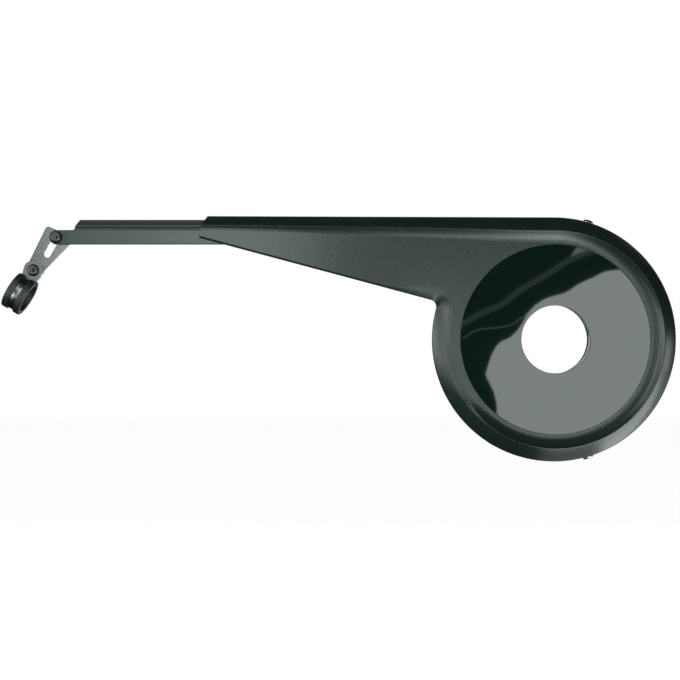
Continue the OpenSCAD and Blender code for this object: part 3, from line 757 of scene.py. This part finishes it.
def cap_screw(name, at, seat, tip, body, node):
    """A cap screw along Y at a point: its head stands in front of y = seat, its shank ends at y = tip."""
    place = Matrix.Translation(at) @ outward
    bm = bmesh.new()
    half = socket_w / 2
    turned(bm, [
        (screw_r, -seat), (head_r * 0.96, -seat), (head_r, -seat + 0.2 * mm), (head_r, -seat + head_h * 0.7),
        (head_r * 0.98, -seat + head_h * 0.84), (head_r * 0.94, -seat + head_h * 0.93),
        (head_r * 0.88, -seat + head_h * 0.98), (head_r * 0.81, -seat + head_h),
        (half * 1.12, -seat + head_h), (half, -seat + head_h * 0.95), (half, -seat + head_h * 0.4),
        (0, -seat + head_h * 0.35), (0, -seat),
    ], place, 72, flats=(8, 9, 10))
    shank(bm, screw_r, -seat + run_gap, -tip, -plate_back, place)
    dress(made(bm, name), head_black, body, "black_steel", node)


def flat_washer(name, at, front, material, body, slot, node):
    bm = bmesh.new()
    place = Matrix.Translation(at) @ outward
    washer_ring(bm, washer_r, screw_r + run_gap, -front - washer_t, -front, place)
    dress(made(bm, name), material, body, slot, node)


def back_nut(name, at, front, body, node):
    bm = bmesh.new()
    hex_nut(bm, screw_r + run_gap, -front - nut_t, Matrix.Translation(at) @ outward)
    dress(made(bm, name, 20), bright_zinc, body, "zinc_steel", node)


pivot_seat = rail_face - plate_gap
pivot_nut_y = plate_back + plate_gap + washer_t
cap_screw("pivot_cap_screw", pivot, pivot_seat - washer_t, pivot_nut_y + nut_t + 1 * mm, "pivot", "pivot_screw")
flat_washer("pivot_black_washer", pivot, pivot_seat - washer_t, washer_black, "pivot", "black_steel",
            "pivot_front_washer")
flat_washer("pivot_zinc_washer", pivot, pivot_nut_y - washer_t, bright_zinc, "pivot", "zinc_steel",
            "pivot_rear_washer")
back_nut("pivot_hex_nut", pivot, pivot_nut_y, "pivot", "pivot_nut")
clamp_front = plate_mid - ear_in - band_t
clamp_back = plate_mid + ear_in + band_t
cap_screw("clamp_cap_screw", clamp_at, clamp_front - washer_t, clamp_back + washer_t + nut_t + 1 * mm, "clamp",
          "clamp_screw")
flat_washer("clamp_black_washer", clamp_at, clamp_front - washer_t, washer_black, "clamp", "black_steel",
            "clamp_front_washer")
flat_washer("clamp_zinc_washer", clamp_at, clamp_back, bright_zinc, "clamp", "zinc_steel", "clamp_rear_washer")
back_nut("clamp_hex_nut", clamp_at, clamp_back + washer_t, "clamp", "clamp_nut")

# Stay bracket
# A punched plate of zinc plated steel behind the rail's tongue. Its slot lets it slide on the pivot screw, and
# the clamp's screw goes through its narrow foot.
slot_angle = math.radians(240.5)
slot_travel = 16.8 * mm
slot_gap = 0.4 * mm
plate_edge = 0.4 * mm
foot = (screw_pitch * math.cos(pitch_angle), screw_pitch * math.sin(pitch_angle))
corners = [
    (-0.215 * screw_pitch, 0.19 * screw_pitch, 2.7 * mm), (*foot, 6.8 * mm),
    (0.3 * screw_pitch, -0.06 * screw_pitch, 3.4 * mm),
]


def wrapped(circles, count=40):
    """The outline of a band stretched round circles, anticlockwise."""
    cloud = sorted(p for x, z, r in circles for p in round_outline(x, z, r, count))
    halves = []
    for points in (cloud, cloud[::-1]):
        chain = []
        for p in points:
            while len(chain) > 1 and (
                (chain[-1][0] - chain[-2][0]) * (p[1] - chain[-2][1])
                <= (chain[-1][1] - chain[-2][1]) * (p[0] - chain[-2][0])
            ):
                chain.pop()
            chain.append(p)
        halves += chain[:-1]
    return halves


slot_r = screw_r + slot_gap
slot_end = (slot_travel * math.cos(slot_angle), slot_travel * math.sin(slot_angle))
slot_outline = wrapped([(0, 0, slot_r), (*slot_end, slot_r)], 48)
bm = bmesh.new()
foot_hole = round_outline(*foot, screw_r + run_gap)
sheet_plate(bm, wrapped(corners), [slot_outline, foot_hole], plate_front, plate_back, plate_edge,
            Matrix.Translation(pivot))
bracket = made(bm, "slotted_bracket")
dress(bracket, zinc_plate, "bracket", "zinc_steel", "stay_bracket")

# Clamp band
# A zinc plated strip bent round the rubber sleeve. Its round ears lie on both sides of the bracket's foot,
# and the clamp screw pulls them together.
stay_r = 12.5 * mm
sleeve_r = 16.33 * mm
sleeve_w = 17 * mm
channel_w = 5.6 * mm
band_w = 12.4 * mm
ear_r = 8.6 * mm
clamp_reach = 23.4 * mm
clamp_turn = math.radians(2)
reach_angle = math.radians(239.2)
band_mid_r = (stay_r + sleeve_r) / 2
at_clamp = Matrix.Translation((clamp_at.x, plate_mid, clamp_at.z)) @ Matrix.Rotation(-reach_angle, 4, "Y")
at_sleeve = at_clamp @ Matrix.Translation((clamp_reach, 0, 0)) @ Matrix.Rotation(clamp_turn, 4, "X")
ear_mid = ear_in + band_t / 2
leg_end = clamp_reach - math.sqrt(band_mid_r ** 2 - ear_mid ** 2)


def band_path():
    """Points of the strip's middle with its half width: one ear, round the sleeve, the other ear."""
    leg = []
    for x in np.concatenate([-ear_r * np.cos(np.linspace(0.12, math.pi / 2, 16)), np.linspace(1.5 * mm, leg_end, 8)]):
        round_half = math.sqrt(max(ear_r ** 2 - x ** 2, 0))
        if x > 0:
            round_half = mix(ear_r, band_w / 2, min(1, x / leg_end) ** 1.3)
        leg.append((x, ear_mid, round_half))
    start = math.atan2(ear_mid, leg_end - clamp_reach)
    loop = [
        (clamp_reach + band_mid_r * math.cos(a), band_mid_r * math.sin(a), band_w / 2)
        for a in np.linspace(start, -start, 90)[1:-1]
    ]
    return leg + loop + [(x, -y, half) for x, y, half in leg[::-1]]


bm = bmesh.new()
path = band_path()
rows = []
for k, (x, y, half) in enumerate(path):
    before, after = path[max(k - 1, 0)], path[min(k + 1, len(path) - 1)]
    way = Vector((after[0] - before[0], after[1] - before[1], 0)).normalized()
    normal = Vector((way.y, -way.x, 0))
    tilt = clamp_turn * min(1, max(0, (x - leg_end) / (2 * mm)))
    turn = Matrix.Rotation(tilt, 4, "X")
    row = []
    edge = min(plate_edge, half / 2)
    for off, z in (
        (-band_t / 2, half - edge), (-band_t / 2 + small_edge, half), (band_t / 2 - small_edge, half),
        (band_t / 2, half - edge), (band_t / 2, edge - half), (band_t / 2 - small_edge, -half),
        (-band_t / 2 + small_edge, -half), (-band_t / 2, edge - half),
    ):
        row.append(bm.verts.new(at_clamp @ (turn @ (Vector((x, y, z)) + normal * off))))
    rows.append(row)
for first, second in zip(rows, rows[1:]):
    band(bm, first, second, True)
bm.faces.new(rows[0])
bm.faces.new(rows[-1][::-1])
strip = made(bm, "bent_clamp_band")
bm = bmesh.new()
prism(bm, round_outline(clamp_at.x, clamp_at.z, screw_r + run_gap), clamp_front - wall, clamp_back + wall)
strip = combined(strip, made(bm, "ear_holes"), "DIFFERENCE")
dress(strip, zinc_plate, "clamp", "zinc_steel", "clamp_band")

# Clamp sleeve
# A split sleeve of soft black rubber round the chain stay. The band lies inside its wall, and a channel round
# the outside shows the metal.
pocket = 2 * run_gap
mouth = ear_in + 2 * band_t
sleeve_edge = 0.8 * mm
channel_edge = 0.4 * mm
band_in = band_mid_r - band_t / 2 - pocket
band_out = band_mid_r + band_t / 2 + pocket
sleeve_line = [
    (stay_r, -sleeve_w / 2), (sleeve_r, -sleeve_w / 2), (sleeve_r, -channel_w / 2),
    (band_out, -channel_w / 2), (band_out, -band_w / 2 - pocket), (band_in, -band_w / 2 - pocket),
    (band_in, band_w / 2 + pocket), (band_out, band_w / 2 + pocket), (band_out, channel_w / 2),
    (sleeve_r, channel_w / 2), (sleeve_r, sleeve_w / 2), (stay_r, sleeve_w / 2),
]
sleeve_round = [0.4, 1.1, 0.5, 0.05, 0.05, 0.05, 0.05, 0.05, 0.05, 0.5, 1.1, 0.4]
bm = bmesh.new()
outline = rounded(sleeve_line, sleeve_round, 5)
rows = []
for k in range(121):
    row = []
    for r, z in outline:
        lip = math.pi - math.asin(mouth / r)
        a = lip - 2 * lip * k / 120
        row.append(bm.verts.new(at_sleeve @ Vector((r * math.cos(a), r * math.sin(a), z))))
    rows.append(row)
for first, second in zip(rows, rows[1:]):
    band(bm, first, second, True)
bm.faces.new(rows[0])
bm.faces.new(rows[-1][::-1])
sleeve = made(bm, "rubber_sleeve")
soft_rubber = finish("soft_black_rubber", (0.006, 0.0095, 0.008), 0.45, grain=0.5 * mm, relief=0.03 * mm,
                     uneven=0.06)
dress(sleeve, soft_rubber, "clamp", "sleeve_rubber", "clamp_sleeve")

# Studio
# A plain pale floor below the guard and a white surround behind it, a camera level with the crank axis, soft
# lamps, and cards whose mirror images show in the disc and the satin face. Dark screens stand where they end.
camera_at = Vector((-0.1846, -1.4, -0.0005))
camera_data = bpy.data.cameras.new("camera")
camera_data.lens = 86.5
camera_data.sensor_width = 36
camera_data.clip_end = 50
camera = bpy.data.objects.new("camera", camera_data)
camera.location = camera_at
camera.rotation_euler = (math.pi / 2, 0, 0)
bpy.context.scene.collection.objects.link(camera)
bpy.context.scene.camera = camera

world = bpy.data.worlds.new("surround")
bpy.context.scene.world = world
world.use_nodes = True
nodes, links = world.node_tree.nodes, world.node_tree.links
background = nodes["Background"]
background.inputs["Color"].default_value = (1, 1, 1, 1)
rays = nodes.new("ShaderNodeLightPath")
seen = nodes.new("ShaderNodeMath")
seen.operation = "MAXIMUM"
links.new(rays.outputs["Is Camera Ray"], seen.inputs[0])
links.new(rays.outputs["Is Glossy Ray"], seen.inputs[1])
seen_too = nodes.new("ShaderNodeMath")
seen_too.operation = "MAXIMUM"
links.new(seen.outputs[0], seen_too.inputs[0])
links.new(rays.outputs["Is Transmission Ray"], seen_too.inputs[1])
ambient = 0.5
strength = nodes.new("ShaderNodeMapRange")
strength.inputs["To Min"].default_value = ambient
strength.inputs["To Max"].default_value = 1
links.new(seen_too.outputs[0], strength.inputs["Value"])
links.new(strength.outputs["Result"], background.inputs["Strength"])


def panel(name, points, material):
    mesh = bpy.data.meshes.new(name)
    mesh.from_pydata(points, [], [list(range(len(points)))])
    mesh.materials.append(material)
    piece = bpy.data.objects.new(name, mesh)
    bpy.context.scene.collection.objects.link(piece)
    return piece


floor_material = bpy.data.materials.new("pale_floor")
floor_material.use_nodes = True
nodes, links = floor_material.node_tree.nodes, floor_material.node_tree.links
floor_shader = nodes["Principled BSDF"]
floor_shader.inputs["Base Color"].default_value = (0.85, 0.85, 0.85, 1)
floor_shader.inputs["Roughness"].default_value = 0.9
floor_shader.inputs["Specular IOR Level"].default_value = 0
floor_rays = nodes.new("ShaderNodeLightPath")
floor_glow = nodes.new("ShaderNodeMath")
floor_glow.operation = "MULTIPLY"
floor_glow.inputs[1].default_value = 0.55
links.new(floor_rays.outputs["Is Camera Ray"], floor_glow.inputs[0])
floor_shader.inputs["Emission Color"].default_value = (1, 1, 1, 1)
links.new(floor_glow.outputs[0], floor_shader.inputs["Emission Strength"])
floor_z = -0.45
panel("floor", [(-6, -4, floor_z), (6, -4, floor_z), (6, 8, floor_z), (-6, 8, floor_z)], floor_material)

screen_material = bpy.data.materials.new("dark_screen")
screen_material.use_nodes = True
screen_material.node_tree.nodes["Principled BSDF"].inputs["Base Color"].default_value = (0.01, 0.01, 0.01, 1)
screen_material.node_tree.nodes["Principled BSDF"].inputs["Specular IOR Level"].default_value = 0


def only_mirrored(piece):
    """Keeps a studio piece out of the picture and out of the lighting, except in shiny surfaces."""
    piece.visible_camera = False
    piece.visible_diffuse = False
    piece.visible_shadow = False
    piece.visible_transmission = False


screen_y = -2.6
for name, points in (
    ("front_screen", [(-4, screen_y, -3), (4, screen_y, -3), (4, screen_y, 3), (-4, screen_y, 3)]),
    ("top_screen", [(-4, screen_y, 1.5), (4, screen_y, 1.5), (4, 1.5, 1.5), (-4, 1.5, 1.5)]),
    ("right_screen", [(1.8, screen_y, -0.44), (1.8, 2, -0.44), (1.8, 2, 1.5), (1.8, screen_y, 1.5)]),
    ("left_screen", [(-3, screen_y, -0.44), (-3, 2, -0.44), (-3, 2, 1.5), (-3, screen_y, 1.5)]),
    ("foot_screen", [(-3, screen_y, -0.4495), (0, screen_y, -0.4495), (0, 1.5, -0.4495), (-3, 1.5, -0.4495)]),
):
    only_mirrored(panel(name, points, screen_material))


def glow(name, strength):
    material = bpy.data.materials.new(name)
    material.use_nodes = True
    nodes, links = material.node_tree.nodes, material.node_tree.links
    nodes.remove(nodes["Principled BSDF"])
    light = nodes.new("ShaderNodeEmission")
    light.inputs["Color"].default_value = (0.91, 1, 0.965, 1)
    light.inputs["Strength"].default_value = strength
    links.new(light.outputs["Emission"], nodes["Material Output"].inputs["Surface"])
    return material


card_y = -2.3


def mirrored(x, z):
    """The place on the cards' plane that a place on the guard's face mirrors to the camera, in millimetres."""
    x, z = x * mm, z * mm
    far = card_y / camera_at.y
    return x + (x - camera_at.x) * far, card_y, z + (z - camera_at.z) * far


def card(name, outline, strength, forward=0.0):
    points = [mirrored(x, z) for x, z in outline]
    points = [(x, y + forward, z) for x, y, z in points]
    only_mirrored(panel(name, points, glow(name, strength)))


def strip_outline(line, width):
    """An outline that thick round a line of points."""
    row = np.array(line, float)
    way = np.gradient(row, axis=0)
    way /= np.linalg.norm(way, axis=1, keepdims=True)
    side = np.stack([-way[:, 1], way[:, 0]], axis=1) * width / 2
    return [tuple(p) for p in np.concatenate([row - side, (row + side)[::-1]])]


def curved(line, count=40):
    """A smooth line through the points."""
    row = np.array(line, float)
    row = np.concatenate([[2 * row[0] - row[1]], row, [2 * row[-1] - row[-2]]])
    points = []
    for t in np.linspace(1, len(row) - 2 - 1e-6, count):
        i = int(t)
        u = t - i
        a, b, c, d = row[i - 1:i + 3]
        points.append(tuple(
            0.5 * (2 * b + (c - a) * u + (2 * a - 5 * b + 4 * c - d) * u ** 2 + (3 * b - a - 3 * c + d) * u ** 3)
        ))
    return points


upper_edge = curved([(130, 72), (85, 64), (56, 60), (42, 58), (32, 53), (20, 47.5), (9, 40.5), (-8, 35), (-18, 29)])
lower_edge = curved([(-24, 22), (-31, 10), (-38, 2.4), (-48, -2.9), (-53, -10), (-57, -20), (-60, -30)])
foot_edge = curved([(-60, -30), (-56, -38.5), (-52.5, -46), (-50.5, -55), (-50, -64), (-49, -90)])
card("disc_card", upper_edge + lower_edge + foot_edge[1:] + [(-49, -110), (130, -110)], 5.2)
card("disc_streak", strip_outline(
    curved([(-95, 4), (-78, 14), (-62, 23), (-46, 30), (-29, 43), (-8.5, 55), (14, 69), (31, 75), (60, 80)]), 5,
), 0.45)
card("disc_line", strip_outline(
    curved([(-79, 0.8), (-67, 8), (-50, 10), (-38, 12.6), (-29, 18.6), (-22, 24)]), 0.7,
), 1.6)
card("disc_spot", [(13, 71), (18, 79), (31.5, 76), (24, 74)], 2.2)
near_y = -0.4
for name, x0, x1, z0, z1, strength in (
    ("arm_card", -0.37, -0.218, -0.02, 0.3, 3.9), ("rail_card", -0.49, -0.37, -0.1, 0.3, 2.05),
    ("bracket_card", -0.68, -0.49, 0.02, 0.3, 0.15), ("side_card", -0.44, -0.26, -0.25, -0.04, 2.5),
    ("rear_card", -0.13, -0.06, -0.08, 0.05, 2.6), ("stay_card", -0.7, -0.53, -0.14, 0.0, 1.1),
):
    corners = [(x0, near_y, z0), (x1, near_y, z0), (x1, near_y, z1), (x0, near_y, z1)]
    only_mirrored(panel(name, corners, glow(name, strength)))
for name, at in (("pivot_card", pivot), ("clamp_card", clamp_at)):
    far = near_y / camera_at.y
    x, z = at.x + (at.x - camera_at.x) * far, at.z + (at.z - camera_at.z) * far
    only_mirrored(panel(name, [
        (x + u, near_y + mm, z + v) for u, v in round_outline(0, 0, head_r * 1.5, 24)
    ], glow(name, 5)))
low = floor_z + mm
for name, x0, y0, x1, y1, strength in (
    ("fillet_card", 0.02, -1.8, 0.7, -0.3, 6.5), ("crest_card", 0.0, -0.3, 0.25, 0.02, 2.5),
    ("corner_card", 0.25, -0.15, 1.6, 0.3, 4),
):
    only_mirrored(panel(name, [(x0, y0, low), (x1, y0, low), (x1, y1, low), (x0, y1, low)], glow(name, strength)))


def lamp(name, at, target, size, power, shape=(1, 1)):
    data = bpy.data.lights.new(name, "AREA")
    data.shape = "RECTANGLE"
    data.size = size * shape[0]
    data.size_y = size * shape[1]
    data.energy = power
    data.color = (0.93, 1, 0.97)
    piece = bpy.data.objects.new(name, data)
    piece.location = at
    piece.rotation_euler = (Vector(target) - Vector(at)).to_track_quat("-Z", "Y").to_euler()
    piece.visible_camera = False
    bpy.context.scene.collection.objects.link(piece)
    return piece


only_mirrored(panel("right_card", [(1.79, -0.2, low), (1.79, 0.7, low), (1.79, 0.7, 0), (1.79, -0.2, 0)],
                    glow("right_card", 2.4)))
only_mirrored(panel("broad_card", [(-0.9, -2.35, -0.35), (0.03, -2.35, -0.35), (0.03, -2.35, 0.6), (-0.9, -2.35, 0.6)],
                    glow("broad_card", 1.0)))
only_mirrored(panel("high_card", [(-0.8, -0.7, 0.45), (-0.47, -0.7, 0.45), (-0.47, -0.04, 0.45), (-0.8, -0.04, 0.45)],
                    glow("high_card", 2)))
lamp("left_lamp", (-1.5, -0.9, -0.02), (-0.2, 0, 0), 0.9, 17, (1, 1.35))
lamp("low_right_lamp", (0.9, -0.9, -0.9), (0, 0, 0), 0.7, 12)
front_lamp = lamp("front_lamp", (-0.2, -3, 0.3), (-0.2, 0, 0), 1.5, 35)
back_lamp = lamp("back_lamp", (-0.2, 2.5, 0.2), (-0.2, 0, 0), 1.5, 32)
for soft_lamp in (front_lamp, back_lamp):
    soft_lamp.visible_glossy = False

bpy.context.scene.view_settings.view_transform = "Standard"
